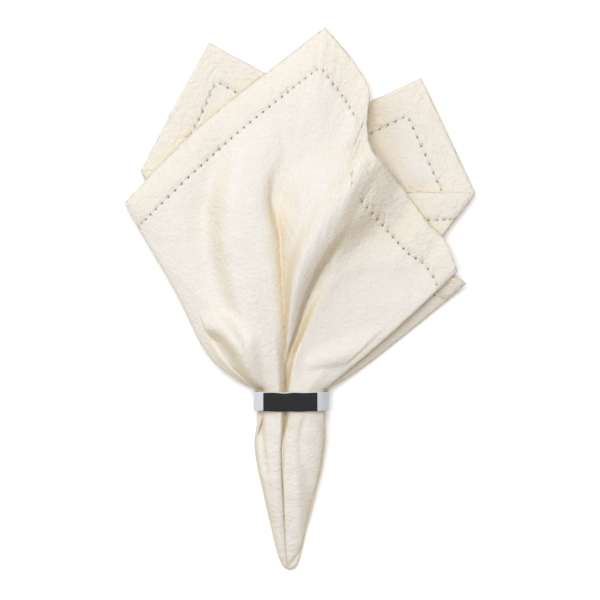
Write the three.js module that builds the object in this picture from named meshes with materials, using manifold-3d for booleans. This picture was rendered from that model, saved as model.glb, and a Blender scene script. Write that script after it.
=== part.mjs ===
// A square hemmed cloth napkin, held by its middle and drawn through a flat oval ring.
// The middle of the cloth makes the pointed tail below the ring, and its four corners
// fan out above it in pleats. It lies on a table: +Z is up, the tail points along -Y,
// and the origin is on the table under the middle of the ring. Sizes are millimetres.
import * as THREE from 'three';
import Module from 'manifold-3d';

// The cloth, as it is cut and hemmed
const SIDE = 450;
const HALF = SIDE / 2;
const HEM = 20;
const SHEET = 1.0;

// Where the ring holds the cloth, measured from the middle of the napkin
const RING_AT = 99;
const NECK = 6.5;

// The ring: a flat band bent to a rounded oval, with a label round its upper face
const BAND_WIDTH = 11;
const BAND_THICK = 0.8;
const RING_OUTER = { width: 43.8, height: 21.6, corner: 9 };
const LABEL_FROM = -16;
const LABEL_TO = 15;
const LABEL_THICK = 0.5;
const PIECE_GAP = 0.3;

// Heights of the stacked layers, in the ring and at the hem: layer 0 lies on the table
const RING_STACK = { base: 2.1, pitch: 1.4 };
const HEM_STACK = { base: SHEET / 2, pitch: 1.6 };

// The folds in their order round the cloth's edge, from the front corner to the left.
// edge: distance along the hem. layer: stack level of the cloth that arrives and leaves.
// ringX, hem: where the fold passes the ring, and where it meets the cloth's edge.
// up: height added to the stack in the ring, just above it, half way, near the hem, at it.
// bow: sideways bow of the fold line just above the ring and half way out.
const FLAT = [0, 0, 0, 0, 0];
const STRAIGHT = [0, 0];
const FOLDS = [
  { name: 'frontCorner', edge: 0, layer: [7, 7], ringX: -5.8, hem: [20, 218], up: [1.0, 0, 5, 0, 3], bow: [-3, 0] },
  { name: 'leftValley', edge: 42, layer: [7, 7], ringX: -7, hem: [-12, 190], up: [0.6, 0, 2, 0, 2], bow: [0, -4] },
  { name: 'leftCrest', edge: 60, layer: [7, 7], ringX: -10, hem: [-25, 178], up: [6, 2, 9, 0, 2], bow: [0, 0] },
  { name: 'leftHollow', edge: 98, layer: [7, 7], ringX: -15, hem: [-53, 153], up: [4.6, -2, 2, 0, 1.5], bow: [-7, 0] },
  { name: 'leftEdge', edge: 156, layer: [7.5, 6], ringX: -19.2, hem: [-97, 114], up: FLAT, bow: [-13, 0] },
  { name: 'leftTuck', edge: 261, layer: [6, 5], ringX: 1.5, hem: [11, 136], up: FLAT, bow: STRAIGHT },
  { name: 'sideEdge', edge: 366, layer: [5, 4], ringX: -19.3, hem: [-86.5, 134], up: FLAT, bow: [-8, 0] },
  { name: 'leftCorner', edge: 450, layer: [4, 4], ringX: -10, hem: [-48, 209], up: FLAT, bow: STRAIGHT },
  { name: 'backTuckA', edge: 507, layer: [4, 3], ringX: -1.5, hem: [-2, 184.5], up: FLAT, bow: STRAIGHT },
  { name: 'backFoldA', edge: 597, layer: [3, 2], ringX: -18.4, hem: [-70, 140], up: FLAT, bow: [-6, 0] },
  { name: 'backTuckB', edge: 679, layer: [2, 1], ringX: -1.5, hem: [-8, 176], up: FLAT, bow: STRAIGHT },
  { name: 'backFoldB', edge: 768, layer: [1, 0], ringX: -15.4, hem: [-70, 128], up: FLAT, bow: [-5, 0] },
  { name: 'underLeft', edge: 834, layer: [0, 0], ringX: -8, hem: [-24, 163.5], up: FLAT, bow: [-2, 0] },
  { name: 'backCorner', edge: 900, layer: [0, 0], ringX: 0, hem: [21.5, 199], up: FLAT, bow: STRAIGHT },
  { name: 'underRight', edge: 957, layer: [0, 0], ringX: 8, hem: [54, 156], up: FLAT, bow: STRAIGHT },
  { name: 'backFoldC', edge: 1014, layer: [0, 1], ringX: 15.4, hem: [87, 113], up: FLAT, bow: STRAIGHT },
  { name: 'backTuckC', edge: 1101, layer: [1, 2], ringX: 2, hem: [14, 150], up: FLAT, bow: STRAIGHT },
  { name: 'backFoldD', edge: 1182, layer: [2, 3], ringX: 18.4, hem: [84, 118], up: FLAT, bow: STRAIGHT },
  { name: 'backTuckD', edge: 1272, layer: [3, 4], ringX: 2, hem: [8, 157], up: FLAT, bow: STRAIGHT },
  { name: 'rightCorner', edge: 1350, layer: [4, 4], ringX: 10, hem: [76, 187.5], up: FLAT, bow: STRAIGHT },
  { name: 'flapEdge', edge: 1422, layer: [4, 5], ringX: 19.3, hem: [107, 122], up: FLAT, bow: STRAIGHT },
  { name: 'flapTuck', edge: 1494, layer: [5, 6], ringX: 5, hem: [36, 121.5], up: FLAT, bow: STRAIGHT },
  { name: 'lowEdge', edge: 1580, layer: [6, 7], ringX: 19.2, hem: [102, 68.5], up: FLAT, bow: [2, 0] },
  { name: 'lowTuck', edge: 1608, layer: [7, 8], ringX: 9.5, hem: [75, 81], up: FLAT, bow: STRAIGHT },
  { name: 'rightEdge', edge: 1630, layer: [8, 9.5], ringX: 18.8, hem: [96.5, 76], up: FLAT, bow: STRAIGHT },
  { name: 'rightPanel', edge: 1650, layer: [9, 9], ringX: 9, hem: [84, 99], up: [4.2, 1, 3, 0, 1], bow: STRAIGHT },
  { name: 'rightValley', edge: 1685, layer: [7, 7], ringX: 2, hem: [65, 124], up: [1, 0, 2, 0, 4], bow: [1, -12] },
  { name: 'rightCrest', edge: 1707, layer: [8, 8], ringX: -1.6, hem: [54, 139], up: [3.2, 0, 8, 0, 5], bow: [0, -11] },
  { name: 'hemNotch', edge: 1731, layer: [7, 7], ringX: -3.8, hem: [42.5, 159], up: [2.6, 0, 6, 4, 5], bow: [-1, -8] },
  { name: 'hemBulge', edge: 1755, layer: [7, 7], ringX: -4.8, hem: [44.5, 178], up: [1.6, 0, 5, 6, 4], bow: [-2, -6] },
];
const CORNERS = [0, SIDE, 2 * SIDE, 3 * SIDE];
const ROUND = 4 * SIDE;
const FOLD_REACH = 3.2;

// The tail: width, foot and height of its section at distances below the ring
const TAIL = [
  { below: -2.5, left: -20.5, right: 20.5, foot: 1.2, top: 20.3 },
  { below: 6.5, left: -20.5, right: 20.5, foot: 1.2, top: 20.2 },
  { below: 10, left: -21.6, right: 20.9, foot: 0.4, top: 20.0 },
  { below: 16, left: -21.7, right: 20.8, foot: 0, top: 19.4 },
  { below: 23, left: -21.5, right: 20.4, foot: 0, top: 18.6 },
  { below: 32, left: -20.6, right: 18.9, foot: 0, top: 17.5 },
  { below: 40, left: -19.3, right: 17.0, foot: 0, top: 16.4 },
  { below: 52, left: -17.0, right: 14.3, foot: 0, top: 14.6 },
  { below: 64, left: -13.6, right: 11.2, foot: 0, top: 12.5 },
  { below: 75, left: -10.8, right: 8.3, foot: 0, top: 10.4 },
  { below: 84, left: -8.6, right: 6.0, foot: 0, top: 8.4 },
  { below: 92, left: -6.2, right: 4.3, foot: 0.2, top: 6.4 },
  { below: 97, left: -3.8, right: 2.7, foot: 0.9, top: 4.4 },
  { below: 99, left: -1.4, right: 0.9, foot: 1.7, top: 2.9 },
];

// Its section: two soft lobes beside a deep crease, on a flat underside
const LOBES = [
  { across: 0, high: 0 },
  { across: 0.6, high: 0 },
  { across: 0.94, high: 0.2 },
  { across: 1, high: 0.45 },
  { across: 0.92, high: 0.74 },
  { across: 0.66, high: 0.93 },
  { across: 0.25, high: 1 },
  { across: -0.18, high: 0.84 },
  { across: -0.31, high: 0.5 },
  { across: -0.42, high: 0.86 },
  { across: -0.6, high: 0.98 },
  { across: -0.88, high: 0.8 },
  { across: -1, high: 0.45 },
  { across: -0.94, high: 0.2 },
  { across: -0.6, high: 0 },
];
const CREASE_FOOT = { across: -0.31, high: 0.2 };

// Rows of the fan's surface, as shares of the way from the ring to the stitched line
const FAN_ROWS = [0, 0.04, 0.09, 0.15, 0.22, 0.3, 0.39, 0.49, 0.6, 0.72, 0.86, 1];

const lerp = (a, b, k) => a + (b - a) * k;
const clamp01 = (k) => Math.min(1, Math.max(0, k));
const smooth = (k) => clamp01(k) ** 2 * (3 - 2 * clamp01(k));

// Bumps along a fold line: near the ring, half way out, and near the hem
const nearRing = (t) => (t * (1 - t) ** 5 * 6 ** 6) / 5 ** 5;
const halfWay = (t) => 4 * t * (1 - t);
const nearHem = (t) => nearRing(1 - t);
// How fast a layer comes down from its height in the ring to its height on the table
const settle = (t) => (1 - clamp01(t / 0.45)) ** 2;

// Distance from the middle of the napkin to its edge, at a place along the hem
function reach(edge) {
  return Math.hypot(HALF, (edge % SIDE) - HALF);
}

// Where a fold passes the ring: its place across, and the height of a layer there
function inRing(fold, layer, y) {
  return new THREE.Vector3(fold.ringX, y, RING_STACK.base + RING_STACK.pitch * layer + fold.up[0]);
}

// A fold's place in the fan, that share of the way from the ring to the cloth's edge
function inFan(fold, layer, t) {
  const from = inRing(fold, layer, NECK);
  const hemZ = HEM_STACK.base + HEM_STACK.pitch * layer + fold.up[4];
  const lean = fold.bow[0] * nearRing(t) + fold.bow[1] * halfWay(t);
  const rise = fold.up[1] * nearRing(t) + fold.up[2] * halfWay(t) + fold.up[3] * nearHem(t);
  return new THREE.Vector3(
    lerp(from.x, fold.hem[0], t) + lean,
    lerp(from.y, fold.hem[1], t),
    lerp(hemZ, from.z, settle(t)) + rise,
  );
}

// The knots of one ring of the cloth: each fold becomes a rounded turn of three knots
function knots(placeOf) {
  return FOLDS.flatMap((fold, i) => {
    const before = FOLDS.at(i - 1);
    const after = FOLDS[(i + 1) % FOLDS.length];
    const [arrive, leave] = fold.layer;
    const from = placeOf(fold, arrive);
    const to = placeOf(fold, leave);
    const middle = from.clone().lerp(to, 0.5);
    if (arrive === leave) return [{ edge: fold.edge, at: middle }];
    const radius = from.distanceTo(to) / 2;
    const towards = (start, other, layer) => {
      const way = placeOf(other, layer).sub(start).setZ(0);
      return start.clone().add(way.setLength(radius));
    };
    return [
      { edge: fold.edge - FOLD_REACH, at: towards(from, before, before.layer[1]) },
      { edge: fold.edge, at: middle },
      { edge: fold.edge + FOLD_REACH, at: towards(to, after, after.layer[0]) },
    ];
  });
}

// Slope at a knot that never overshoots it: flat where the curve turns back
function knotSlope(h0, d0, h1, d1) {
  if (d0 * d1 <= 0) return 0;
  const w0 = 2 * h1 + h0;
  const w1 = h1 + 2 * h0;
  return (w0 + w1) / (w0 / d0 + w1 / d1);
}

// A closed curve through the knots; the cloth's corners stay sharp by the share given
function loop(list, round, sharp) {
  const n = list.length;
  const gap = list.map((k, i) => (list[(i + 1) % n].edge - k.edge + round) % round);
  const slopes = (axis) => {
    const secant = list.map((k, i) => (list[(i + 1) % n].at[axis] - k.at[axis]) / gap[i]);
    return list.map((k, i) => {
      const p = (i + n - 1) % n;
      const soft = knotSlope(gap[p], secant[p], gap[i], secant[i]);
      const kink = axis !== 'z' && CORNERS.includes(k.edge) ? sharp : 0;
      return [lerp(soft, secant[p], kink), lerp(soft, secant[i], kink)];
    });
  };
  const slope = { x: slopes('x'), y: slopes('y'), z: slopes('z') };
  return (edge) => {
    const i = list.findLastIndex((k) => k.edge <= edge);
    const j = (i + 1) % n;
    const u = (edge - list[i].edge) / gap[i];
    const along = (axis) => {
      const ends = list[i].at[axis] * (1 + 2 * u) * (1 - u) ** 2 + list[j].at[axis] * (3 - 2 * u) * u ** 2;
      const turn = slope[axis][i][1] * u * (1 - u) ** 2 - slope[axis][j][0] * u ** 2 * (1 - u);
      return ends + gap[i] * turn;
    };
    return new THREE.Vector3(along('x'), along('y'), along('z'));
  };
}

// Columns of the surface: every knot, and more between those that lie far apart
function columnEdges() {
  const edges = knots((fold, layer) => inFan(fold, layer, 1)).map((k) => k.edge);
  return edges.flatMap((edge, i) => {
    const next = edges[i + 1] ?? ROUND;
    const onFront = edge < FOLDS[4].edge || edge >= FOLDS.at(-6).edge;
    const parts = onFront && next - edge > 2 * FOLD_REACH ? 4 : 2;
    return Array.from({ length: parts }, (_, p) => lerp(edge, next, p / parts));
  });
}

// Rings of points over the middle of the sheet, from inside the ring out to the hem
function sheetRings(columns) {
  const neck = loop(knots((fold, layer) => inRing(fold, layer, 0)), ROUND, 0);
  const fanRing = (shareOf) =>
    columns.map((edge) => {
      const t = shareOf(edge);
      return loop(knots((fold, layer) => inFan(fold, layer, t)), ROUND, smooth(2 * t))(edge);
    });
  const from = RING_AT + NECK;
  const stitched = (edge) => (reach(edge) * (1 - HEM / HALF) - from) / (reach(edge) - from);
  const rows = FAN_ROWS.map((share) => fanRing((edge) => share * stitched(edge)));
  return [columns.map((edge) => neck(edge)), ...rows, fanRing(() => 1)];
}

// Unit normals of the rings of points, pointing out of the fold
function normals(rings) {
  return rings.map((ring, k) =>
    ring.map((point, j) => {
      const across = ring[(j + 1) % ring.length].clone().sub(ring.at(j - 1));
      const along = (rings[k + 1] ?? ring)[j].clone().sub((rings[k - 1] ?? ring)[j]);
      return along.cross(across).normalize();
    }),
  );
}

// Triangles that join each ring of points to the next one
function strips(rings, faces, first) {
  const n = rings[0].length;
  for (let k = 0; k + 1 < rings.length; k += 1) {
    for (let j = 0; j < n; j += 1) {
      const a = first + k * n + j;
      const b = first + k * n + ((j + 1) % n);
      faces.push([a, a + n, b + n], [a, b + n, b]);
    }
  }
}

function solid(wasm, points, faces) {
  const vertProperties = new Float32Array(points.flatMap((p) => [p.x, p.y, p.z]));
  const triVerts = new Uint32Array(faces.flat());
  return new wasm.Manifold(new wasm.Mesh({ numProp: 3, vertProperties, triVerts }));
}

// The pleated fan: outer skin up to the hem, over its edge, and inner skin back again
function fan(wasm) {
  const middle = sheetRings(columnEdges());
  const facing = normals(middle);
  const skin = (side) =>
    middle.map((ring, k) => ring.map((p, j) => p.clone().addScaledVector(facing[k][j], (side * SHEET) / 2)));
  const outer = skin(1);
  const rings = [...outer, ...skin(-1).reverse(), outer[0]];
  const faces = [];
  strips(rings, faces, 0);
  const count = (rings.length - 1) * outer[0].length;
  return solid(wasm, rings.slice(0, -1).flat(), faces.map((f) => f.map((v) => v % count)));
}

// The gathered middle of the cloth: one soft cone from inside the ring to the tail's tip
function tail(wasm) {
  const list = LOBES.map((lobe, i) => ({ edge: i, lobe }));
  const ringOf = (row) => {
    const placed = list.map(({ edge, lobe }) => {
      const x = lerp(row.left, row.right, (lobe.across + 1) / 2);
      return { edge, at: new THREE.Vector3(x, -row.below, lerp(row.foot, row.top, lobe.high)) };
    });
    const curve = loop(placed, LOBES.length, 0);
    return Array.from({ length: 3 * LOBES.length }, (_, p) => curve(p / 3));
  };
  const rings = TAIL.map(ringOf).reverse();
  const underCrease = (row) => {
    const x = lerp(row.left, row.right, (CREASE_FOOT.across + 1) / 2);
    return new THREE.Vector3(x, -row.below, lerp(row.foot, row.top, CREASE_FOOT.high));
  };
  const points = [...rings.flat(), underCrease(TAIL.at(-1)), underCrease(TAIL[0])];
  const faces = [];
  strips(rings, faces, 0);
  const n = rings[0].length;
  const last = n * (rings.length - 1);
  for (let j = 0; j < n; j += 1) {
    const next = (j + 1) % n;
    faces.push([n * rings.length, j, next]);
    faces.push([n * rings.length + 1, last + next, last + j]);
  }
  return solid(wasm, points, faces);
}

function napkin(wasm) {
  const mesh = fan(wasm).add(tail(wasm)).getMesh();
  const geometry = new THREE.BufferGeometry();
  geometry.setAttribute('position', new THREE.BufferAttribute(mesh.vertProperties, 3));
  geometry.setIndex(new THREE.BufferAttribute(mesh.triVerts, 1));
  geometry.computeVertexNormals();
  return geometry;
}

// A rounded oval, drawn in the ring's plane with its lowest side on the table
function oval(path, inset) {
  const w = RING_OUTER.width / 2 - inset;
  const r = RING_OUTER.corner - inset;
  const low = inset;
  const high = RING_OUTER.height - inset;
  path.moveTo(-w + r, low);
  path.lineTo(w - r, low);
  path.absarc(w - r, low + r, r, -Math.PI / 2, 0);
  path.lineTo(w, high - r);
  path.absarc(w - r, high - r, r, 0, Math.PI / 2);
  path.lineTo(-w + r, high);
  path.absarc(-w + r, high - r, r, Math.PI / 2, Math.PI);
  path.lineTo(-w, low + r);
  path.absarc(-w + r, low + r, r, Math.PI, 1.5 * Math.PI);
  return path;
}

// A flat shape in the ring's plane, drawn out to the width of the band
function acrossBand(shape, width) {
  const geometry = new THREE.ExtrudeGeometry(shape, { depth: width, bevelEnabled: false, curveSegments: 8 });
  return geometry.rotateX(Math.PI / 2).translate(0, width / 2, 0);
}

function ringBand() {
  const shape = oval(new THREE.Shape(), 0);
  shape.holes.push(oval(new THREE.Path(), BAND_THICK));
  return acrossBand(shape, BAND_WIDTH);
}

// The label lies on the band's upper face and bends a little way down its two shoulders
function ringLabel() {
  const flat = RING_OUTER.width / 2 - RING_OUTER.corner;
  const centreZ = RING_OUTER.height - RING_OUTER.corner;
  const inner = RING_OUTER.corner + PIECE_GAP;
  const outer = inner + LABEL_THICK;
  const leftEnd = Math.PI / 2 + Math.asin((-flat - LABEL_FROM) / outer);
  const rightEnd = Math.PI / 2 - Math.asin((LABEL_TO - flat) / outer);
  const shape = new THREE.Shape();
  shape.absarc(-flat, centreZ, outer, leftEnd, Math.PI / 2, true);
  shape.absarc(flat, centreZ, outer, Math.PI / 2, rightEnd, true);
  shape.absarc(flat, centreZ, inner, rightEnd, Math.PI / 2, false);
  shape.absarc(-flat, centreZ, inner, Math.PI / 2, leftEnd, false);
  return acrossBand(shape, BAND_WIDTH);
}

function piece(name, geometry, colour, roughness) {
  const material = new THREE.MeshStandardMaterial({ color: colour, roughness, metalness: 0 });
  const mesh = new THREE.Mesh(geometry, material);
  mesh.name = name;
  return mesh;
}

const wasm = await Module();
wasm.setup();
const group = new THREE.Group();
group.add(piece('napkin', napkin(wasm), 0xf1ebdf, 0.95));
group.add(piece('ring_band', ringBand(), 0xe3e3e8, 0.45));
group.add(piece('ring_label', ringLabel(), 0x26262a, 0.6));
export default group;
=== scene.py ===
import bpy
import numpy as np
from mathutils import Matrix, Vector


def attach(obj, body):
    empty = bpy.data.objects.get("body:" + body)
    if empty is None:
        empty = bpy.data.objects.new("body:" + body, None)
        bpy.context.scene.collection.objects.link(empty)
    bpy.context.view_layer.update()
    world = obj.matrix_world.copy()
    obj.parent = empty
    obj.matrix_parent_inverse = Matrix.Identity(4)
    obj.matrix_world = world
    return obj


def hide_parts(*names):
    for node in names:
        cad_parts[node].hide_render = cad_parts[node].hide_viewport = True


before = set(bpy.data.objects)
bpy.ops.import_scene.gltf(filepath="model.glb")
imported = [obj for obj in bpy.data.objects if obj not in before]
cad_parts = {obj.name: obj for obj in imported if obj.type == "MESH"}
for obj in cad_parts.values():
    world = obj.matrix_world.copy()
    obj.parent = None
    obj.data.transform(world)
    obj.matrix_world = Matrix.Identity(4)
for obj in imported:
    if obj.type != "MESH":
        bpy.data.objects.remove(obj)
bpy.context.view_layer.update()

# The napkin: one square of washed cream cotton with a turned, hemstitched border.
# It is pinched at its middle and drawn through the ring, so its middle makes the tail
# and its corners fan out above. Sizes are millimetres until the mesh is made.
SIDE = 450.0
HALF = SIDE / 2
ROUND = 4 * SIDE
HEM = 20.0
STITCH = HALF - HEM

# The ring sits this far from the cloth's middle, and the fan starts NECK above it
RING_AT = 99.0
NECK = 6.5

# Height of the lowest layer and from one layer to the next, in the ring and at the hem,
# and how much of the hem each rounded turn takes up on both sides of its fold
RING_STACK = (2.1, 1.4)
HEM_STACK = (0.5, 1.6)
FOLD_REACH = 3.2

# The folds in their order round the edge, from the front corner to the left.
# edge: place along the hem; layers: stack level of the cloth that arrives and leaves;
# ring_x, hem: where the fold line passes the ring and meets the edge; up: height added
# in the ring, just above it, half way, near the hem and at it; bow: sideways bow of the
# line near the ring and half way; tail: place round the tail's section.
FLAT = (0, 0, 0, 0, 0)
STRAIGHT = (0, 0)
FOLDS = [
    # edge, layers, ring_x, hem, up, bow, tail
    (0, (7, 7), -3.1, (19.7, 217.5), (1.6, 1, 6, 2, 3), (-2.5, 0), 7.7),
    (42, (7, 7), -3.9, (-13.4, 191.9), (3, 1, 5, 4, 1), (0, 2), 8.0),
    (60, (7, 7), -7.6, (-28.0, 180.8), (7.7, 3, 5, 4, 0.6), (0, 2), 9.6),
    (98, (7, 7), -14.6, (-57.1, 156.2), (5.6, 6, 5, 3, 0.4), (-7, 0), 11.0),
    (156, (7.5, 6), -19.2, (-97.2, 115.5), FLAT, (-11.5, -5), 12.0),
    (261, (6, 5), 1.5, (11, 136), FLAT, STRAIGHT, 12.3),
    (366, (5, 4), -19.3, (-88, 134.5), FLAT, (-8, 0), 12.6),
    (408, (4, 4), -14.6, (-69.6, 170.2), FLAT, (-4, 0), 12.75),
    (450, (4, 4), -10.0, (-48.1, 209.4), FLAT, STRAIGHT, 12.9),
    (507, (4, 3), -1.5, (-2, 184.5), FLAT, STRAIGHT, 13.2),
    (597, (3, 2), -18.4, (-70, 140), FLAT, (-6, 0), 13.5),
    (679, (2, 1), -1.5, (-8, 176), FLAT, STRAIGHT, 13.8),
    (768, (1, 0), -15.4, (-70, 128), FLAT, (-5, 0), 14.1),
    (834, (0, 0), -8.0, (-24, 163.5), FLAT, (-2, 0), 14.5),
    (900, (0, 0), 0.0, (21.5, 199), FLAT, STRAIGHT, 15.0),
    (957, (0, 0), 8.0, (54, 156), FLAT, STRAIGHT, 15.5),
    (1014, (0, 1), 15.4, (87, 113), FLAT, STRAIGHT, 15.9),
    (1101, (1, 2), 2.0, (14, 150), FLAT, STRAIGHT, 16.2),
    (1182, (2, 3), 18.4, (84, 118), FLAT, STRAIGHT, 16.5),
    (1272, (3, 4), 2.0, (8, 157), FLAT, STRAIGHT, 16.8),
    (1350, (4, 4), 10.0, (76.1, 188.8), FLAT, STRAIGHT, 17.0),
    (1422, (4, 5), 19.3, (107.3, 121.5), (0, 0, -1, 1, 1.5), STRAIGHT, 17.2),
    (1494, (5, 6), 5.0, (36, 121.5), FLAT, STRAIGHT, 17.4),
    (1580, (6, 7), 19.2, (101.7, 68.6), (0, -2, -5, -2, -1), (2.5, 4), 17.7),
    (1608, (7, 8), 9.5, (75, 81), FLAT, STRAIGHT, 17.9),
    (1630, (8, 9.5), 18.8, (96.5, 76), FLAT, (0, 2.5), 18.1),
    (1650, (9, 9), 14.0, (89.2, 94.3), (2.8, 0.5, 0.2, 0, 0.4), STRAIGHT, 19.0),
    (1660, (9, 9), 9.6, (81.6, 101.3), (4.7, 0.5, 0.6, 0, 0.6), STRAIGHT, 20.0),
    (1690, (8.5, 8.5), 3.8, (64.1, 125.2), (5.9, 1, 2, 0, -1.5), (0, -5), 21.2),
    (1706, (8, 8), 0.8, (53.6, 137.5), (6.3, 1, -1, 0, 5), (0, -6), 21.6),
    (1721, (7.7, 7.7), -0.6, (45.4, 149), (6.1, 1, -1.8, 0, 9), (-1, -5), 22.0),
    (1733, (7.5, 7.5), -1.5, (43.9, 160), (5.7, 1, -1.5, 0, 9), (-1, -5), 22.2),
    (1754, (7.2, 7.2), -2.1, (45.3, 179.5), (4.8, 1, 1, 0, 7), (-2, -7), 22.4),
    (1773, (7, 7), -2.6, (37.8, 195.3), (3.6, 1, 3.3, 0, 5), (-2, -5), 22.6),
]

# The tail: width, foot and top of its section at distances below the ring, and the
# section itself as knots across and up: two soft lobes beside a deep crease
TAIL = np.array([
    # below, left, right, foot, top
    (6.5, -20.3, 20.3, 1.2, 19.6), (10, -21.4, 20.6, 0.5, 19.6), (16, -21.7, 20.4, 0.3, 19.2),
    (23, -21.5, 19.9, 0.3, 18.6), (32, -20.6, 18.5, 0.3, 17.5), (40, -19.3, 17.4, 0.3, 16.4),
    (52, -16.6, 14.4, 0.3, 14.6), (64, -14.0, 11.5, 0.3, 12.5), (75, -11.4, 8.5, 0.3, 10.4),
    (84, -9.4, 6.6, 0.3, 8.4), (92, -7.2, 4.8, 0.4, 6.4), (97, -4.9, 3.0, 0.9, 4.4),
    (98.6, -3.2, 1.4, 1.5, 3.2),
])
LOBES = np.array([
    (0, 0), (0.6, 0), (0.95, 0.2), (1, 0.45), (0.92, 0.76), (0.62, 0.94), (0.2, 1), (-0.19, 0.96),
    (-0.245, 0.8), (-0.3, 0.96), (-0.6, 1), (-0.9, 0.8), (-1, 0.45), (-0.95, 0.2), (-0.6, 0),
])

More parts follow.
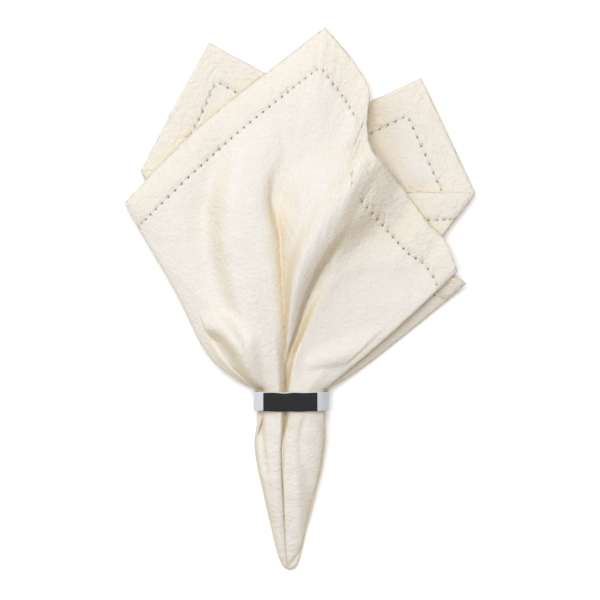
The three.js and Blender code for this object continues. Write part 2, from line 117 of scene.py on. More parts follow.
# Soft ridges and troughs pressed into the parts of the cloth that show, each along a
# line of points: the part of the hem it lies behind, how round the top and the foot of
# its left and right sides are, then x, y, height, and its reach to the left and right
FRONT = (1640, 1940)
RIGHT_CORNER = (1300, 1420)
RELIEF = {
    "left lobe": (FRONT, (2, 2.1), (5, 1), [
        (-8.3, 15.5, 0.5, 6, 4.2), (-13.0, 29.5, 2, 13, 9.5), (-18.2, 49.9, 5, 19, 15),
        (-24.1, 70.3, 8, 23, 19.6), (-27.6, 93.7, 9, 24, 21.5), (-29.9, 114.1, 7.5, 22, 18.6),
        (-28.1, 129.9, 4.5, 20, 18), (-22.9, 147.4, 1.5, 16, 20), (-17.0, 164.9, 0, 12, 10)]),
    "left hollow": (FRONT, (2, 2), (2, 2), [
        (-38.5, 157.9, 0, 11, 9), (-43.0, 140.4, -2, 11, 12), (-48.8, 117.0, -3.2, 12, 15),
        (-50.0, 93.7, -3.4, 12, 15), (-44.5, 70.3, -2.8, 11, 14), (-37.0, 52.2, -2, 8, 8),
        (-28.1, 38.2, -1.4, 4, 4), (-24.1, 27.7, 0, 3, 3)]),
    "left crease": (FRONT, (1, 2), (1, 2), [
        (-3.6, 28.3, 0, 2, 3), (-3.9, 38.2, -0.4, 2.5, 4), (-4.5, 58.7, -0.8, 2, 5),
        (-5.7, 73.3, -1.2, 2, 6), (-7.4, 93.7, -1.0, 2, 6), (-11.5, 110.0, -1.2, 2.5, 5),
        (-12.4, 122.9, -1, 3, 6), (-9.5, 134.6, -0.8, 3, 6), (-4.2, 143.3, -0.5, 4, 6),
        (2.2, 148.0, 0, 5, 5)]),
    "middle": (FRONT, (2.2, 1.2), (1.7, 2), [
        (-1.3, 41.2, 0, 2.8, 6), (0.5, 55.8, 3, 6, 12), (3.4, 70.3, 6.5, 10.2, 21),
        (8.6, 83.8, 9.5, 17.5, 30), (16.2, 96.6, 10.5, 28, 39), (25.6, 111.8, 10.5, 33, 44),
        (33.7, 123.5, 10.5, 30, 44), (43.7, 133.4, 10, 21, 38), (54.2, 141.6, 7, 12, 24)]),
    "right ridge": (FRONT, (2, 2), (2, 1.2), [
        (-3.0, 24.8, 0, 1.5, 2.5), (-2.5, 32.4, 2.8, 2, 4), (-1.4, 42.9, 6, 2.8, 5.8),
        (0.5, 55.8, 6.5, 4.5, 7.8), (3.4, 70.3, 6.5, 7, 10.5), (8.6, 83.8, 6.8, 10, 12.5),
        (16.2, 96.6, 6.4, 12, 13.5), (25.6, 111.8, 6.2, 13, 12), (32.6, 122.3, 5.8, 12, 10),
        (40.2, 131.1, 4.6, 10, 8), (47.8, 138.1, 0, 8, 6)]),
    "right valley": (FRONT, (2, 2), (2, 2), [
        (-3.0, 8.5, -2, 2, 2.5), (-1.9, 20.1, -4.5, 2.5, 3.5), (0.2, 30.1, -5.5, 2.5, 4),
        (4.6, 41.2, -5, 3, 4.5), (9.5, 57.5, -4.6, 4, 6.5), (15.6, 70.9, -4.5, 4.5, 9),
        (25.0, 84.4, -4.5, 7, 14), (36.7, 94.9, -4, 9, 16), (48.3, 103.0, -3, 11, 16),
        (60.0, 108.9, 0, 10, 12)]),
    "right shoulder": (FRONT, (2, 1.3), (2, 2), [
        (64.7, 44.1, 0, 4, 8), (53.0, 35.9, 1.2, 6, 10), (41.3, 30.1, 2.6, 7, 12),
        (27.3, 26.0, 3, 7, 12), (15.6, 23.1, 2, 5, 9), (5.1, 19.6, 0, 3, 6)]),
    "ring shoulder": (FRONT, (2, 2), (1, 1.2), [
        (-55.6, 49.3, 0, 8, 5), (-48.6, 42.9, 3, 12, 6), (-39.2, 40.0, 5.5, 15, 9),
        (-29.9, 30.1, 6.5, 15, 10), (-25.2, 20.7, 4.5, 11, 8), (-20.5, 12.6, 2, 7, 5),
        (-18.8, 5.5, 0, 4, 3)]),
    "right basin": (FRONT, (2, 2), (2, 2), [
        (34.3, 80.9, -1, 9, 8), (43.7, 88.4, -2.8, 13, 12), (55.3, 96.0, -3.9, 16, 14),
        (63.5, 104.2, -3.4, 16, 11), (68.8, 112.4, -2, 12, 8), (71.1, 118.8, 0, 8, 5)]),
    "ring hollow": (FRONT, (2, 2), (2, 2), [
        (-52.7, 39.4, 0, 4, 4), (-47.4, 37.1, -2.2, 5, 5), (-42.7, 34.7, -3, 5, 5.5),
        (-35.1, 26.0, -3.2, 5, 6), (-29.9, 17.2, -2.4, 4, 5), (-24.6, 9.0, 0, 3, 3)]),
    "tail lip": (FRONT, (2, 2), (2, 1), [
        (-8.0, -10.8, 0, 3, 2), (-8.9, -23.1, 0.4, 4, 3), (-9.2, -40.6, 1, 4, 3.4),
        (-7.7, -63.9, 0.9, 3.5, 3), (-6.0, -84.4, 0.5, 2, 1.6), (-4.2, -94.9, 0, 1.5, 1)]),
    "tail side": (FRONT, (2, 2), (2, 2), [
        (-20.0, -3.8, -1.6, 3, 3), (-17.6, -12.6, -3.2, 3, 4), (-16.5, -26.0, -3.2, 3, 4),
        (-14.7, -43.5, -1.2, 3, 3), (-12.6, -58.0, 0, 2, 2)]),
    "tip fold": (FRONT, (1.5, 2), (1.5, 2), [
        (-3.0, -98.9, -0.8, 1.2, 1.2), (0.5, -94.9, -1.8, 1.2, 2), (4.6, -89.0, -1.9, 1.2, 2.2),
        (9.2, -82.0, -0.3, 1.2, 1.5)]),
    "tail dents": (FRONT, (2, 2), (2, 2), [
        (9.2, -7.3, 0, 2, 2), (7.5, -12.0, -1.3, 1.5, 3), (5.7, -20.7, -1.7, 1.5, 2.5),
        (6.3, -31.8, -0.8, 3, 4), (10.4, -45.2, -2.3, 4, 8), (11.6, -56.3, -3.1, 5, 8),
        (10.4, -67.4, -2.3, 5, 7), (6.9, -81.4, 0, 4, 4)]),
    "flap hollow": (RIGHT_CORNER, (2, 2), (2, 2), [
        (61.2, 121.1, -3, 6, 3), (74.0, 121.7, -3.2, 6, 3), (82.8, 123.5, -2.6, 5, 4),
        (90.4, 126.4, 0, 4, 4)]),
    "corner dip": (RIGHT_CORNER, (2, 2), (2, 2), [
        (37.8, 180.1, -2, 9, 8), (44.8, 163.7, -4, 11, 8), (51.8, 146.2, -3.5, 13, 8),
        (57.7, 133.4, -1.5, 12, 8), (65.8, 122.9, 0, 8, 8)]),
    "tail crease floor": (FRONT, (2, 2), (2, 2), [
        (-6.0, -2.0, 2.4, 1.9, 1.9), (-6.0, -23.1, 2.4, 1.9, 1.9), (-5.4, -40.6, 0.8, 1.5, 1.5),
        (-5.4, -52.2, 0, 1, 1)]),
}

# Share of the way out at which the cloth has come down from its height in the ring
SETTLED = 0.45


def settle(t):
    """Share of the ring's stack height that is left at t: all at the ring, none when settled."""
    return (1 - np.clip(t / SETTLED, 0, 1)) ** 2


def smooth(k):
    """Eases from 0 to 1."""
    k = np.clip(k, 0, 1)
    return k * k * (3 - 2 * k)


def near_ring(t):
    """A hump of height 1 just above the ring, gone at the ring and at the hem."""
    return t * (1 - t) ** 5 * 6 ** 6 / 5 ** 5


def reach(edge):
    """Distance on the flat cloth from its middle to a place on its edge."""
    return np.hypot(HALF, edge % SIDE - HALF)


def fold_line(fold, layer, t):
    """The line of a fold from the ring to the hem, on one level of the stack."""
    ring_x, hem, up, bow = fold[2:6]
    ring_z = RING_STACK[0] + RING_STACK[1] * layer + up[0]
    hem_z = HEM_STACK[0] + HEM_STACK[1] * layer + up[4]
    half = 4 * t * (1 - t)
    x = ring_x + (hem[0] - ring_x) * t + bow[0] * near_ring(t) + bow[1] * half
    y = NECK + (hem[1] - NECK) * t
    rise = up[1] * near_ring(t) + up[2] * half + up[3] * near_ring(1 - t)
    return np.stack([x, y, hem_z + (ring_z - hem_z) * settle(t) + rise], axis=-1)


def knots(t):
    """Each fold as a rounded turn of three knots, at every station t."""
    edges, points = [], []
    for i, fold in enumerate(FOLDS):
        arrive, leave = fold[1]
        came, goes = fold_line(fold, arrive, t), fold_line(fold, leave, t)
        middle = (came + goes) / 2
        if arrive == leave:
            edges.append(fold[0])
            points.append(middle)
            continue
        radius = np.linalg.norm(came - goes, axis=-1, keepdims=True) / 2
        before, after = FOLDS[i - 1], FOLDS[(i + 1) % len(FOLDS)]
        sides = []
        for start, other, layer in ((came, before, before[1][1]), (goes, after, after[1][0])):
            way = (fold_line(other, layer, t) - start) * (1, 1, 0)
            sides.append(start + way * radius / np.linalg.norm(way, axis=-1, keepdims=True))
        edges.extend([fold[0] - FOLD_REACH, fold[0], fold[0] + FOLD_REACH])
        points.extend([sides[0], middle, sides[1]])
    return np.array(edges, float), np.stack(points, axis=1)


def loop(edges, points, at, sharp, turn, corners):
    """A closed curve through the knots that never overshoots them; corners stay sharp."""
    gap = np.diff(np.append(edges, edges[0] + turn))
    after = (np.roll(points, -1, axis=1) - points) / gap[:, None]
    before = np.roll(after, 1, axis=1)
    gap_before = np.roll(gap, 1)
    w0 = (2 * gap + gap_before)[:, None]
    w1 = (gap + 2 * gap_before)[:, None]
    same = before * after > 0
    mean = (w0 + w1) / (w0 / np.where(same, before, 1) + w1 / np.where(same, after, 1))
    soft = np.where(same, mean, 0)
    kink = np.isin(edges, corners)[None, :, None] * sharp[:, None, None] * np.ones(points.shape[2])
    if points.shape[2] == 3:
        kink = kink * (1, 1, 0)
    arrive = soft + kink * (before - soft)
    leave = soft + kink * (after - soft)
    i = np.searchsorted(edges, at, "right") - 1
    j = (i + 1) % len(edges)
    u = ((at - edges[i]) / gap[i])[:, None]
    ends = points[:, i] * (1 + 2 * u) * (1 - u) ** 2 + points[:, j] * (3 - 2 * u) * u ** 2
    turns = leave[:, i] * u * (1 - u) ** 2 - arrive[:, j] * u ** 2 * (1 - u)
    return ends + gap[i][:, None] * turns


CORNERS = np.arange(4) * SIDE
STEPS = np.linspace(0, 1, 241)
STEP_EDGES, STEP_KNOTS = knots(STEPS)

# The front panel's fold lines settle into one even sheet: those that lie within about
# EVEN_OVER of each other take up one height, fully from 0.28 to 0.7 of the way out
EVEN_OVER = 10.0
PANEL_FROM = 1650
PANEL_TO = 98
front = np.flatnonzero((STEP_EDGES >= PANEL_FROM) | (STEP_EDGES <= PANEL_TO))
x = STEP_KNOTS[:, front, 0]
z = STEP_KNOTS[:, front, 2]
near = np.exp(-((x[:, :, None] - x[:, None, :]) / EVEN_OVER) ** 2)
even = (near * z[:, None, :]).sum(axis=2) / near.sum(axis=2)
part_way = smooth((STEPS - 0.08) / 0.2) * smooth((0.9 - STEPS) / 0.2)
STEP_KNOTS[:, front, 2] += (even - z) * part_way[:, None]


def fan_point(edge, t):
    """Points of the fan at places along the hem, that share of the way out."""
    grid = loop(STEP_EDGES, STEP_KNOTS, edge, smooth(2 * STEPS), ROUND, CORNERS)
    k = np.clip(drawn_in(edge, t), 0, 1) * (len(STEPS) - 1)
    low = np.minimum(k.astype(int), len(STEPS) - 2)
    part = (k - low)[:, None]
    column = np.arange(len(edge))
    return grid[low, column] * (1 - part) + grid[low + 1, column] * part


# How wide the hem looks from above, as a share of its real width, at places along it:
# least on the front's left side, where it dips to the cloth below
HEM_LOOKS = np.array([
    # edge, share
    (0, 0.84), (20, 0.8), (40, 0.78), (60, 0.8), (98, 0.84), (120, 0.84), (150, 0.82), (170, 1),
    (360, 1), (372, 0.92), (430, 0.95), (450, 0.85), (500, 0.85), (520, 1), (1280, 1), (1300, 0.9),
    (1422, 0.95), (1494, 0.95), (1640, 0.95), (1660, 1.1), (1720, 1.15), (1735, 1), (1754, 0.76),
    (1770, 0.78), (1785, 0.84),
])


def drawn_in(edge, t):
    """Moves the stitched line in or out, so the hem looks as wide as the table says."""
    stitch = (reach(edge) * STITCH / HALF - RING_AT - NECK) / (reach(edge) - RING_AT - NECK)
    share = (1 - np.interp(edge, HEM_LOOKS[:, 0], HEM_LOOKS[:, 1])) * (1 - stitch)
    inside = smooth((t - SETTLED) / (stitch - SETTLED))
    outside = (1 - t) / (1 - stitch)
    return t + share * np.where(t < stitch, inside, outside)


def neck_point(edge, y):
    """Points of the gathered cloth inside the ring, which keeps one section there."""
    ring = loop(STEP_EDGES, STEP_KNOTS[:1], edge, np.zeros(1), ROUND, CORNERS)[0]
    ring[:, 1] = y
    return ring


# The ring's pleats have run out this far below the ring
RUN_OUT = 22.0


def tail_point(edge, below):
    """Points of the tail, with the pleats of the ring running out below it."""
    knot_count = len(LOBES)
    order = [fold[0] for fold in FOLDS] + [ROUND]
    places = [fold[6] for fold in FOLDS] + [FOLDS[0][6] + knot_count]
    round_it = np.interp(edge, order, places) % knot_count
    section = loop(np.arange(float(knot_count)), LOBES[None], round_it, np.zeros(1), knot_count, [])[0]
    left, right, foot, top = (np.interp(below, TAIL[:, 0], TAIL[:, c]) for c in range(1, 5))
    x = left + (right - left) * (section[:, 0] + 1) / 2
    z = foot + (top - foot) * section[:, 1]
    place = np.stack([x, np.full_like(x, -below), z], axis=-1)
    settled = smooth((below - NECK) / RUN_OUT)
    return neck_point(edge, -below) * (1 - settled) + place * settled


def press(points, edge):
    """Adds the ridges and troughs to the points of the parts that show."""
    lift = np.zeros(len(points))
    for (start, end), left_side, right_side, rows in RELIEF.values():
        here = (edge - start) % ROUND < end - start
        rows = np.array(rows, float)
        best = np.full(len(points), np.inf)
        value = np.zeros(len(points))
        for a, b in zip(rows[:-1], rows[1:]):
            way = b[:2] - a[:2]
            off = points[:, :2] - a[:2]
            s = np.clip(off @ way / (way @ way), 0, 1)
            away = off - s[:, None] * way
            far = np.hypot(away[:, 0], away[:, 1])
            row = a[None] + s[:, None] * (b - a)[None]
            leftward = way[0] * off[:, 1] - way[1] * off[:, 0] > 0
            u = np.clip(far / np.where(leftward, row[:, 3], row[:, 4]), 0, 1)
            top = np.where(leftward, left_side[0], right_side[0])
            foot = np.where(leftward, left_side[1], right_side[1])
            closer = far < best
            best = np.where(closer, far, best)
            value = np.where(closer, row[:, 2] * (1 - u ** top) ** foot, value)
        lift += value * here
    points[:, 2] += lift
    return points


def flat_place(edge, radius):
    """Where a point lies on the cloth before it is gathered, from the cloth's middle."""
    turn = edge // SIDE * np.pi / 2
    out = radius / reach(edge)
    u = (HALF - edge % SIDE) * out
    v = HALF * out
    x = u * np.cos(turn) - v * np.sin(turn)
    y = u * np.sin(turn) + v * np.cos(turn)
    return np.stack([x, y], axis=-1)


rng = np.random.default_rng(11)


def waves(count, short, long):
    """Random gentle waves over the flat cloth: direction, wavelength and start of each."""
    turn = rng.uniform(0, np.pi, count)
    length = rng.uniform(short, long, count)
    way = np.stack([np.cos(turn), np.sin(turn)]) * 2 * np.pi / length
    return way, rng.uniform(0, 2 * np.pi, count)


# The waves of slack and of wash creases, how high they and the hem's puckers are, how
# strong they are on the cloth behind and in the tail, and each pucker's length and start
SLACK = waves(14, 22, 60)
CREASING = waves(20, 8, 18)
SLACK_HIGH = 0.5
CREASING_HIGH = 0.16
PUCKER_HIGH = 0.11
BEHIND_SHARE = 0.35
TAIL_SHARE = 1.3
PUCKER = [(6.7, 0.4), (9.1, 2.2), (13.3, 4.0)]


def crumple(points, edge, radius):
    """Slack and small wash creases over the cloth, and puckers along the hem.

    They fade out towards the ring, the tail's tip and the table.
    """
    flat = flat_place(edge, radius)
    in_front = (edge < 150) | (edge > FRONT[0])
    seen = smooth((radius - RING_AT - 20) / 110) * np.where(in_front, 1, BEHIND_SHARE)
    below = -points[:, 1]
    in_tail = smooth((below - 8) / 10) * smooth((97 - below) / 12)
    seen = seen + TAIL_SHARE * in_tail * smooth((points[:, 2] - 4) / 6)
    place = np.where(below[:, None] > 8, points[:, :2], flat)
    lift = 0.0
    for (way, phase), height in ((SLACK, SLACK_HIGH), (CREASING, CREASING_HIGH)):
        lift = lift + height * np.sin(place @ way + phase).sum(axis=1) / np.sqrt(len(phase))
    hem = smooth((np.abs(flat).max(axis=1) - STITCH + 6) / 6)
    pucker = sum(np.sin(edge * 2 * np.pi / length + start) for length, start in PUCKER)
    points[:, 2] += lift * seen + PUCKER_HIGH * pucker * hem * np.where(seen > 0.5, 1, 0.4)
    return points


# Columns follow the folds closely, and the parts that show more than the hidden pleats.
# SPREAD: from, to and step along the hem; TURN_STEPS: columns on both sides of a turn
SPREAD = [(0, 156, 1.5), (156, 360, 14), (360, 520, 6), (520, 1290, 14), (1290, 1630, 6), (1630, 1800, 1.5)]
TURN_STEPS = np.array([-4.5, -3.2, -2.2, -1.2, 0, 1.2, 2.2, 3.2, 4.5])
TAIL_STEP = 4.0
CLOSEST = 0.55
spread = [np.arange(start, end, step) for start, end, step in SPREAD]
turns = np.concatenate([fold[0] + TURN_STEPS for fold in FOLDS if fold[1][0] != fold[1][1]])
columns = np.unique(np.concatenate(spread + [turns, CORNERS]).round(2))
keep = np.concatenate([[True], np.diff(columns) > CLOSEST])
columns = columns[keep | np.isin(columns, CORNERS)]
tail_columns = np.concatenate([np.arange(0, 156, TAIL_STEP), np.arange(1630, ROUND, TAIL_STEP), turns[::2]])
tail_columns = np.unique(tail_columns[tail_columns < ROUND].round(2))

# The hem's columns: each hemstitch hole takes three of them. Where the front's right
# hem rolls over, its holes are pressed shut.
ROLLED = [(1706.5, 1716.5), (1728, 1757)]
HOLE_PITCH = 4.6
HOLE_R = 0.5
per_side = int(2 * STITCH / HOLE_PITCH)
along = (np.arange(per_side) - (per_side - 1) / 2) * HOLE_PITCH * HALF / STITCH + HALF
holes = np.concatenate([along + side * SIDE for side in range(4)])
hem_columns = np.sort(np.concatenate([holes - HOLE_R, holes, holes + HOLE_R, CORNERS]))
shut = np.any([(holes > a) & (holes < b) for a, b in ROLLED], axis=0)
hole_at = np.searchsorted(hem_columns, holes[~shut])

vertices = []
flat_uv = []
quads = []


def add_row(points, edge, radius):
    """One ring of vertices, with its place on the flat cloth as its UV."""
    first = sum(len(v) for v in vertices)
    vertices.append(crumple(points, edge, radius))
    flat_uv.append(flat_place(edge, radius))
    return first


def bridge(a, b, n, skip=()):
    """Quads between two rings of the same number of vertices."""
    j = np.arange(n)
    k = (j + 1) % n
    cells = np.stack([a + j, b + j, b + k, a + k], axis=-1)
    quads.extend(cells[~np.isin(j, skip)].tolist())


def join(a, from_edges, b, to_edges):
    """Triangles between two rings whose vertices lie at different places round the cloth."""
    n = len(from_edges)
    m = len(to_edges)
    i = j = 0
    while i < n or j < m:
        next_i = from_edges[i + 1] if i + 1 < n else ROUND + (i + 1 > n)
        next_j = to_edges[j + 1] if j + 1 < m else ROUND + (j + 1 > m)
        if j >= m or (i < n and next_i <= next_j):
            quads.append([a + i % n, b + j % m, a + (i + 1) % n])
            i += 1
        else:
            quads.append([a + i % n, b + j % m, b + (j + 1) % m])
            j += 1


# Row by row from the tail's tip, through the ring and out to the stitched line. The rows
# lie closer at the tip and near the ring.
TIP = (-0.9, -RING_AT - 0.2, 2.3)
TAIL_ROWS = np.concatenate([[0.4, 1.2, 2.4], np.arange(4.0, 93.0, 1.5)])
FAN_ROWS = np.linspace(0, 1, 60) ** 1.15
BEFORE_STITCH = 2.2
n = len(tail_columns)
tip = add_row(np.array([TIP]), np.array([0.0]), 0.0)
last = None
for from_tip in TAIL_ROWS:
    points = press(tail_point(tail_columns, RING_AT - from_tip), tail_columns)
    row = add_row(points, tail_columns, from_tip)
    if last is None:
        quads.extend([[tip, row + j, row + (j + 1) % n] for j in range(n)])
    else:
        bridge(last, row, n)
    last = row
row = add_row(neck_point(tail_columns, -3.0), tail_columns, RING_AT - 3.0)
bridge(last, row, n)
last = row
n = len(columns)
for y in (0.5, 3.5):
    row = add_row(neck_point(columns, y), columns, RING_AT + y)
    if y < 1:
        join(last, tail_columns, row, columns)
    else:
        bridge(last, row, n)
    last = row
start = RING_AT + NECK
for share in FAN_ROWS:
    radius = start + (reach(columns) * (STITCH - BEFORE_STITCH) / HALF - start) * share
    t = (radius - start) / (reach(columns) - start)
    row = add_row(press(fan_point(columns, t), columns), columns, radius)
    bridge(last, row, n)
    last = row

# The hem's rows, by their distance past the stitched line: the first two gaps between
# rows hold the holes
HEM_ROWS = (-HOLE_R, 0, HOLE_R, 4, 9, 14, 18, HEM)
m = len(hem_columns)
rows = []
for past in HEM_ROWS:
    radius = reach(hem_columns) * (STITCH + past) / HALF
    t = (radius - start) / (reach(hem_columns) - start)
    rows.append(add_row(press(fan_point(hem_columns, t), hem_columns), hem_columns, radius))
for i, (a, b) in enumerate(zip(rows[:-1], rows[1:])):
    bridge(a, b, m, np.concatenate([hole_at - 1, hole_at]) if i < 2 else ())

# The inner cloth meets the hem, whose columns lie closer together
join(last, columns, rows[0], hem_columns)

points = np.concatenate(vertices)
flat_uv = np.concatenate(flat_uv)
mesh = bpy.data.meshes.new("napkin_cloth")
mesh.from_pydata((points * 0.001).tolist(), [], quads)
mesh.polygons.foreach_set("use_smooth", np.ones(len(mesh.polygons), bool))
layer = mesh.uv_layers.new(name="cloth")
corner = np.empty(len(mesh.loops), int)
mesh.loops.foreach_get("vertex_index", corner)
layer.data.foreach_set("uv", (flat_uv[corner] * 0.001).ravel())
napkin = bpy.data.objects.new("napkin_cloth", mesh)
bpy.context.collection.objects.link(napkin)
hem_group = napkin.vertex_groups.new(name="hem")
out = np.abs(flat_uv).max(axis=1)
hem_group.add(np.flatnonzero(out > STITCH - 1.0).tolist(), 1.0, "REPLACE")

# The hem is doubled cloth, so the single cloth has half its thickness
HEM_THICK = 1.0
solid = napkin.modifiers.new("thickness", "SOLIDIFY")
solid.thickness = HEM_THICK / 1000
solid.offset = 0
solid.vertex_group = "hem"
solid.thickness_vertex_group = 0.5


def srgb(code):
    """Linear colour of an sRGB hex value."""
    parts = [int(code[k:k + 2], 16) / 255 for k in (1, 3, 5)]
    return [p / 12.92 if p <= 0.04045 else ((p + 0.055) / 1.055) ** 2.4 for p in parts] + [1.0]


def add(tree, kind, links=None, **settings):
    """Adds a node, sets its properties and sockets, and links other nodes to it."""
    node = tree.nodes.new(kind)
    for key, value in settings.items():
        setattr(node, key, value)
    for socket, value in (links or {}).items():
        if isinstance(value, bpy.types.NodeSocket):
            tree.links.new(value, node.inputs[socket])
        else:
            node.inputs[socket].default_value = value
    return node


# Washed cotton, plain weave: matt, warm white, slightly crinkled by washing, a little
# light coming through a single layer, and a warmer tone where the hem doubles it. The
# slubs are drawn about three times as coarse as real threads, so that they show.
CLOTH_WHITE = "#eae8e3"
HEM_WHITE = "#e8e5dd"
SLUB_TONE = "#e4e1d9"
# The next colour is painted shade, mixed into the cloth where it folds or stands steep
PAINTED_FOLD_SHADE = "#ebdec0"
THROUGH_TONE = "#f4e0bd"
CRINKLE_MM = 2.2
SLUB_MM = 1.1
WRINKLE_MM = 6.0
RELIEF_MM = 0.9
FOLD_MM = 45
cotton = bpy.data.materials.new("washed_cotton")
cotton.use_nodes = True
tree = cotton.node_tree
tree.nodes.clear()
cloth = add(tree, "ShaderNodeUVMap", uv_map="cloth").outputs["UV"]
across = add(tree, "ShaderNodeMapping", {"Vector": cloth, "Scale": (1, 0.3, 1)}).outputs["Vector"]
lengthwise = add(tree, "ShaderNodeMapping", {"Vector": cloth, "Scale": (0.3, 1, 1)}).outputs["Vector"]
crinkle = add(tree, "ShaderNodeTexNoise", {
    "Vector": cloth, "Scale": 1000 / CRINKLE_MM, "Detail": 3.0, "Roughness": 0.55, "Distortion": 0.6})
warp = add(tree, "ShaderNodeTexNoise", {"Vector": across, "Scale": 1000 / SLUB_MM, "Detail": 2.0})
weft = add(tree, "ShaderNodeTexNoise", {"Vector": lengthwise, "Scale": 1000 / SLUB_MM, "Detail": 2.0})
slub = add(tree, "ShaderNodeMath", {0: warp.outputs["Fac"], 1: weft.outputs["Fac"]}, operation="ADD")
grain = add(tree, "ShaderNodeMath", {
    0: slub.outputs[0], 1: 0.5, 2: crinkle.outputs["Fac"]}, operation="MULTIPLY_ADD")
parts = add(tree, "ShaderNodeSeparateXYZ", {"Vector": cloth})
side_x = add(tree, "ShaderNodeMath", {0: parts.outputs["X"]}, operation="ABSOLUTE")
side_y = add(tree, "ShaderNodeMath", {0: parts.outputs["Y"]}, operation="ABSOLUTE")
outward = add(tree, "ShaderNodeMath", {0: side_x.outputs[0], 1: side_y.outputs[0]}, operation="MAXIMUM")
in_hem = add(tree, "ShaderNodeMath", {0: outward.outputs[0], 1: STITCH / 1000}, operation="GREATER_THAN")
wrinkle = add(tree, "ShaderNodeTexNoise", {
    "Vector": cloth, "Scale": 1000 / WRINKLE_MM, "Detail": 1.0, "Distortion": 1.2})
pucker = add(tree, "ShaderNodeMath", {0: wrinkle.outputs["Fac"], 1: in_hem.outputs[0]}, operation="MULTIPLY")
relief = add(tree, "ShaderNodeMath", {
    0: pucker.outputs[0], 1: 1.6, 2: grain.outputs[0]}, operation="MULTIPLY_ADD")
bump = add(tree, "ShaderNodeBump", {
    "Height": relief.outputs[0], "Strength": 0.7, "Distance": RELIEF_MM / 1000})
tone = add(tree, "ShaderNodeMix", {
    "Factor": in_hem.outputs[0], "A": srgb(CLOTH_WHITE), "B": srgb(HEM_WHITE)}, data_type="RGBA")
thin = add(tree, "ShaderNodeMapRange", {
    "Value": slub.outputs[0], "From Min": 0.8, "From Max": 1.3, "To Max": 0.6})
colour = add(tree, "ShaderNodeMix", {
    "Factor": thin.outputs[0], "A": tone.outputs["Result"], "B": srgb(SLUB_TONE)}, data_type="RGBA")

# Painted shade: deep in the folds, found by ambient occlusion, and on their steep sides, found by
# the surface's slope, a warmer and darker tone is painted into the base colour. It stands in for
# shade and for light bounced from cloth to cloth. The hem gets less of it.
folds = add(tree, "ShaderNodeAmbientOcclusion", {"Distance": FOLD_MM / 1000}, samples=8)
facing = add(tree, "ShaderNodeSeparateXYZ", {"Vector": add(tree, "ShaderNodeTexCoord").outputs["Normal"]})
steep = add(tree, "ShaderNodeMath", {0: in_hem.outputs[0], 1: 0.3, 2: 0.45}, operation="MULTIPLY_ADD")
level = add(tree, "ShaderNodeMapRange", {
    "Value": facing.outputs["Z"], "From Min": 0.5, "From Max": 0.92, "To Min": steep.outputs[0]})
unfolded = add(tree, "ShaderNodeMapRange", {
    "Value": folds.outputs["AO"], "From Min": 0.35, "From Max": 0.95})
unshaded_share = add(tree, "ShaderNodeMath", {0: unfolded.outputs[0], 1: level.outputs[0]}, operation="MULTIPLY")
# Painted shade: the fold shade is mixed into the cloth's colour where the cloth is enclosed or steep
warm = add(tree, "ShaderNodeMix", {
    "Factor": unshaded_share.outputs[0], "A": srgb(PAINTED_FOLD_SHADE), "B": colour.outputs["Result"]}, data_type="RGBA")
surface = add(tree, "ShaderNodeBsdfPrincipled", {
    "Base Color": warm.outputs["Result"], "Roughness": 0.88, "Normal": bump.outputs["Normal"],
    "Sheen Weight": 0.12, "Sheen Roughness": 0.5, "Specular IOR Level": 0.25})
glow = add(tree, "ShaderNodeBsdfTranslucent", {"Color": srgb(THROUGH_TONE)})
both = add(tree, "ShaderNodeMixShader", {0: 0.24, 1: surface.outputs["BSDF"], 2: glow.outputs["BSDF"]})
add(tree, "ShaderNodeOutputMaterial", {"Surface": both.outputs["Shader"]})
mesh.materials.append(cotton)
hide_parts("napkin")
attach(napkin, "root")

# The ring: a slim strip of white coated card, bent to a flat oval round the gathered
# cloth, with its ends joined underneath. It lies flat on the table.
RING_WIDE = 43.8
RING_HIGH = 21.6
RING_CORNER = 9.0
BAND_WIDE = 11.0
BAND_THICK = 0.8
BAND_EDGE = 0.25

# Half the ring's flat stretches across and up, between its rounded corners, and the
# corners in their order, from lower right, as sides across and up
FLAT_WIDE = RING_WIDE / 2 - RING_CORNER
FLAT_HIGH = RING_HIGH / 2 - RING_CORNER
RING_CORNERS = ((1, -1), (1, 1), (-1, 1), (-1, -1))


def oval_point(corner, angle):
    """Point of the ring's outer outline on one of its rounded corners."""
    across, up = RING_CORNERS[corner % 4]
    x = across * FLAT_WIDE + RING_CORNER * np.cos(angle)
    z = RING_HIGH / 2 + up * FLAT_HIGH + RING_CORNER * np.sin(angle)
    return np.array((x, z))


def oval_path(steps_flat, steps_round):
    """Points of the ring's outer outline with their outward directions, from lower right."""
    points, outward = [], []
    for corner in range(4):
        for k in range(steps_round + 1):
            angle = (corner - 1 + k / steps_round) * np.pi / 2
            outward.append((np.cos(angle), np.sin(angle)))
            points.append(oval_point(corner, angle))
        here = points[-1]
        there = oval_point(corner + 1, corner * np.pi / 2)
        for k in range(1, steps_flat):
            points.append(here + (there - here) * k / steps_flat)
            outward.append(outward[-1])
    return np.array(points), np.array(outward)


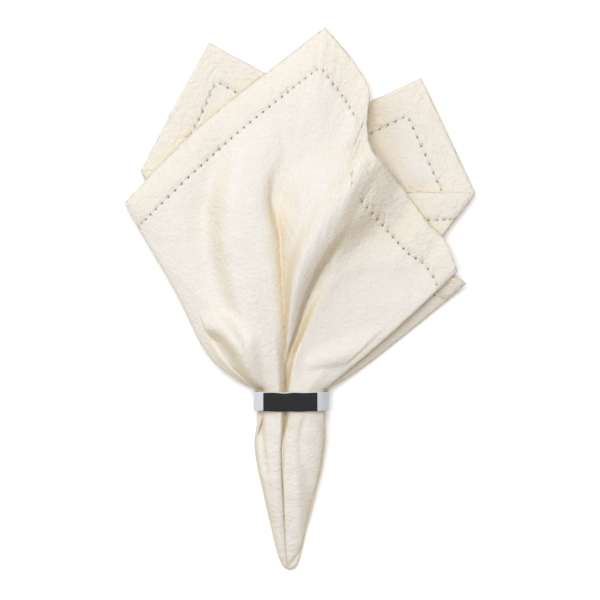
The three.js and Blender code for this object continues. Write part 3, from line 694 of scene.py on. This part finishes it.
def strip_mesh(name, path, outward, closed, wide, low, high, edge, wave):
    """A flat strip with rounded edges along a path; wave(x, y, z) shifts its points."""
    half = wide / 2
    bevel = edge * 0.3
    across = np.linspace(-half + edge, half - edge, 9)
    under = [(-half, low + edge), (-half + bevel, low + bevel)] + [(y, low) for y in across]
    under += [(half - bevel, low + bevel), (half, low + edge)]
    over = [(half, high - edge), (half - bevel, high - bevel)] + [(y, high) for y in across[::-1]]
    over += [(-half + bevel, high - bevel), (-half, high - edge)]
    profile = np.array(under + over)
    count, around = len(path), len(profile)
    verts = []
    for (x, z), (ox, oz) in zip(path, outward):
        for y, off in profile:
            shift, dip = wave(x, y, z)
            verts.append((x + ox * off, y + shift, z + oz * off + dip))
    faces = []
    for i in range(count if closed else count - 1):
        for j in range(around):
            a = i * around
            b = (i + 1) % count * around
            k = (j + 1) % around
            faces.append((a + j, a + k, b + k, b + j))
    if not closed:
        faces.append(tuple(range(around))[::-1])
        faces.append(tuple(range((count - 1) * around, count * around)))
    strip = bpy.data.meshes.new(name)
    strip.from_pydata((np.array(verts) * 0.001).tolist(), [], faces)
    strip.polygons.foreach_set("use_smooth", np.ones(len(strip.polygons), bool))
    piece = bpy.data.objects.new(name, strip)
    bpy.context.collection.objects.link(piece)
    return piece


# Where the tail's deep crease passes under the strip, and how wide the strip dips there
CREASE_AT = -3.5
CREASE_WIDE = 3.2


def soft_edge(x, y, z):
    """The strip's front dips a little over the crease and its long edges wander slightly."""
    top = smooth((z - 14) / 6)
    dent = np.exp(-((x - CREASE_AT) / CREASE_WIDE) ** 2)
    edge = np.clip(2 * y / BAND_WIDE, -1, 1)
    drawn_back = -0.35 * dent * max(edge, 0)
    wander = 0.1 * np.sin(x * 0.5 + edge) * edge
    return top * (drawn_back + wander), -0.25 * top * dent


path, outward = oval_path(steps_flat=40, steps_round=14)
band = strip_mesh("ring_band_card", path, outward, True, BAND_WIDE, -BAND_THICK, 0.0, BAND_EDGE, soft_edge)

# Coated card: cool white and satin, with faint streaks across the strip that change its
# gloss, over a slight tooth of fibres. Both are drawn coarser than real, to show.
CARD_WHITE = "#c6c7cb"
CARD_STREAK = "#bcbdc2"
STREAK_MM = 1.4
FIBRE_MM = 0.6
coated = bpy.data.materials.new("coated_card")
coated.use_nodes = True
tree = coated.node_tree
tree.nodes.clear()
place = add(tree, "ShaderNodeTexCoord").outputs["Object"]
streak = add(tree, "ShaderNodeTexNoise", {
    "Vector": add(tree, "ShaderNodeMapping", {"Vector": place, "Scale": (1, 0.08, 1)}).outputs["Vector"],
    "Scale": 1000 / STREAK_MM, "Detail": 2.0})
fibre = add(tree, "ShaderNodeTexNoise", {"Vector": place, "Scale": 1000 / FIBRE_MM, "Detail": 2.0})
rough = add(tree, "ShaderNodeMapRange", {"Value": streak.outputs["Fac"], "To Min": 0.22, "To Max": 0.42})
tint = add(tree, "ShaderNodeMix", {
    "Factor": streak.outputs["Fac"], "A": srgb(CARD_WHITE), "B": srgb(CARD_STREAK)}, data_type="RGBA")
bump = add(tree, "ShaderNodeBump", {"Height": fibre.outputs["Fac"], "Strength": 0.08, "Distance": 0.0003})
surface = add(tree, "ShaderNodeBsdfPrincipled", {
    "Base Color": tint.outputs["Result"], "Roughness": rough.outputs[0], "Normal": bump.outputs["Normal"],
    "IOR": 1.5})
add(tree, "ShaderNodeOutputMaterial", {"Surface": surface.outputs["BSDF"]})
band.data.materials.append(coated)
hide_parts("ring_band")
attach(band, "root")

# The label: a bare strip of black woven tape stuck across the front of the ring, its
# long edges slightly wavy and its ends a little drawn in
LABEL_FROM = -16.0
LABEL_TO = 15.0
LABEL_THICK = 0.5
LABEL_EDGE = 0.15
LABEL_WIDE = BAND_WIDE - 0.3
LABEL_GAP = 0.3


def label_edge(x, y, z):
    """The label follows the band's dip, sits a little low and bellies at its lower edge."""
    shift, dip = soft_edge(x, y, RING_HIGH)
    edge = np.clip(2 * y / BAND_WIDE, -1, 1)
    middle = (LABEL_FROM + LABEL_TO) / 2
    belly = 1 - (2 * (x - middle) / (LABEL_TO - LABEL_FROM)) ** 2
    return shift - 0.35 - 0.25 * belly * max(-edge, 0), dip


label_x = np.linspace(LABEL_TO, LABEL_FROM, 60)
past_flat = np.maximum(np.abs(label_x) - FLAT_WIDE, 0)
label_z = RING_HIGH + LABEL_GAP - (RING_CORNER - np.sqrt(RING_CORNER ** 2 - past_flat ** 2))
slope = np.sign(label_x) * past_flat / RING_CORNER
label_path = np.stack([label_x, label_z], axis=-1)
label_out = np.stack([slope, np.sqrt(1 - slope ** 2)], axis=-1)
label = strip_mesh(
    "ring_label_tape", label_path, label_out, False, LABEL_WIDE, 0.0, LABEL_THICK, LABEL_EDGE, label_edge)

# Black woven tape: near black and matt, with ribs along its length and a little lint.
# Real ribs are about 0.7 mm apart, and they are drawn about six times as coarse to show.
TAPE_BLACK = "#131314"
TAPE_LINT = "#1c1c1d"
RIB_MM = 4.4
LINT_MM = 0.8
tape = bpy.data.materials.new("black_tape")
tape.use_nodes = True
tree = tape.node_tree
tree.nodes.clear()
place = add(tree, "ShaderNodeTexCoord").outputs["Object"]
rib = add(tree, "ShaderNodeTexWave", {
    "Vector": place, "Scale": np.pi * 100 / RIB_MM, "Distortion": 0.4}, bands_direction="Y")
lint = add(tree, "ShaderNodeTexNoise", {"Vector": place, "Scale": 1000 / LINT_MM, "Detail": 3.0})
tint = add(tree, "ShaderNodeMix", {
    "Factor": lint.outputs["Fac"], "A": srgb(TAPE_BLACK), "B": srgb(TAPE_LINT)}, data_type="RGBA")
bump = add(tree, "ShaderNodeBump", {"Height": rib.outputs["Fac"], "Strength": 0.25, "Distance": 0.0003})
surface = add(tree, "ShaderNodeBsdfPrincipled", {
    "Base Color": tint.outputs["Result"], "Roughness": 0.75, "Normal": bump.outputs["Normal"],
    "Specular IOR Level": 0.3})
add(tree, "ShaderNodeOutputMaterial", {"Surface": surface.outputs["BSDF"]})
label.data.materials.append(tape)
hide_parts("ring_label")
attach(label, "root")

# The floor: a plain pale table top under the napkin, wide enough to fill every view.
# It is a matt board and not part of the object. Sizes from here on are metres.
FLOOR_HALF = 3.0
FLOOR_WHITE = "#fbfbfb"
floor_corners = [(FLOOR_HALF * x, FLOOR_HALF * y, 0) for x, y in ((-1, -1), (1, -1), (1, 1), (-1, 1))]
floor_mesh = bpy.data.meshes.new("floor")
floor_mesh.from_pydata(floor_corners, [], [(0, 1, 2, 3)])
floor = bpy.data.objects.new("floor", floor_mesh)
bpy.context.collection.objects.link(floor)
pale = bpy.data.materials.new("pale_floor")
pale.use_nodes = True
pale_inputs = pale.node_tree.nodes["Principled BSDF"].inputs
pale_inputs["Base Color"].default_value = srgb(FLOOR_WHITE)
pale_inputs["Roughness"].default_value = 0.9
floor_mesh.materials.append(pale)

# The light: a broad window overhead, a low one at the upper left that gives the folds
# their light and dark sides, and warm light from the room all round
ROOM_TONE = "#ffe8be"
ROOM_STRENGTH = 0.25
WINDOW_TONE = "#f2f7ff"
LIT_SPOT = (0, 0.06, 0)
world = bpy.data.worlds.new("studio")
bpy.context.scene.world = world
world.use_nodes = True
room = world.node_tree.nodes["Background"].inputs
room["Color"].default_value = srgb(ROOM_TONE)
room["Strength"].default_value = ROOM_STRENGTH


def window(name, place, size, power):
    """A square soft light of that size and power, aimed at the napkin."""
    data = bpy.data.lights.new(name, "AREA")
    data.size = size
    data.energy = power
    data.color = srgb(WINDOW_TONE)[:3]
    lamp = bpy.data.objects.new(name, data)
    lamp.location = place
    lamp.rotation_euler = (Vector(LIT_SPOT) - Vector(place)).to_track_quat("-Z", "Y").to_euler()
    bpy.context.collection.objects.link(lamp)


window("window", (-0.1, 0.4, 1.88), 1.3, 46.2)
window("side window", (-1.2, 1.2, 0.75), 0.9, 10.1)
bpy.context.scene.view_settings.view_transform = "Standard"

# The camera looks straight down on the napkin. Its lens shows SEEN_WIDTH at the height of
# the cloth, SEEN_DISTANCE below it.
SENSOR_MM = 36
CAMERA_AT = (0.0051, 0.0587, 1.5)
SEEN_DISTANCE = 1.49
SEEN_WIDTH = 0.3503
camera_data = bpy.data.cameras.new("camera")
camera_data.sensor_width = SENSOR_MM
camera_data.lens = SENSOR_MM * SEEN_DISTANCE / SEEN_WIDTH
camera = bpy.data.objects.new("camera", camera_data)
camera.location = CAMERA_AT
bpy.context.collection.objects.link(camera)
bpy.context.scene.camera = camera
